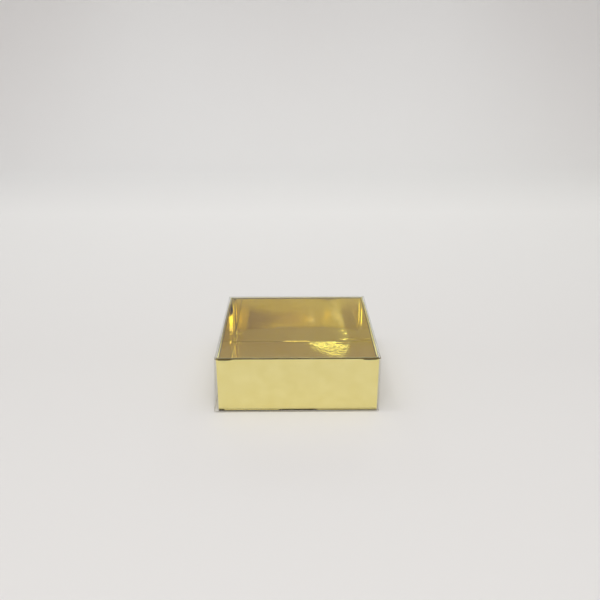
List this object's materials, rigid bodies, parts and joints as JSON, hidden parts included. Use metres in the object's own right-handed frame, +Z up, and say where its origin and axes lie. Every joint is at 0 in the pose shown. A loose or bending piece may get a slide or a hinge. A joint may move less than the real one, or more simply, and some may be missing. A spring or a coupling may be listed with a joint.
{
  "type": "favour box",
  "caption": "Square gift tray folded from gold metallised card with double walls, under a clear film lid as deep as the tray that lifts off.",
  "frame": {"origin": "middle of the tray's underside, on the surface that the box stands on", "axes": "+Z up, -Y the front of the box, +X its right side as seen from the front"},
  "size_m": [0.08, 0.08, 0.0295],
  "materials": {
    "gold_card": "polished",
    "clear_film": "polished"
  },
  "bodies": {
    "base": {"floor_panel": "gold_card", "front_outer_wall": "gold_card", "right_outer_wall": "gold_card", "back_outer_wall": "gold_card", "left_outer_wall": "gold_card", "front_rim": "gold_card", "right_rim": "gold_card", "back_rim": "gold_card", "left_rim": "gold_card", "front_inner_wall": "gold_card", "right_inner_wall": "gold_card", "back_inner_wall": "gold_card", "left_inner_wall": "gold_card", "right_front_flap": "gold_card", "right_back_flap": "gold_card", "left_back_flap": "gold_card", "left_front_flap": "gold_card"},
    "lid": {"lid_top": "clear_film", "lid_front_wall": "clear_film", "lid_right_wall": "clear_film", "lid_back_wall": "clear_film", "lid_left_wall": "clear_film", "lid_right_front_tab": "clear_film", "lid_right_back_tab": "clear_film", "lid_left_back_tab": "clear_film", "lid_left_front_tab": "clear_film"}
  },
  "joints": [
    {"name": "lid_lift", "type": "slide", "parent": "base", "child": "lid", "axis": [0, 0, 1], "range_m": [0, 0.07]}
  ]
}
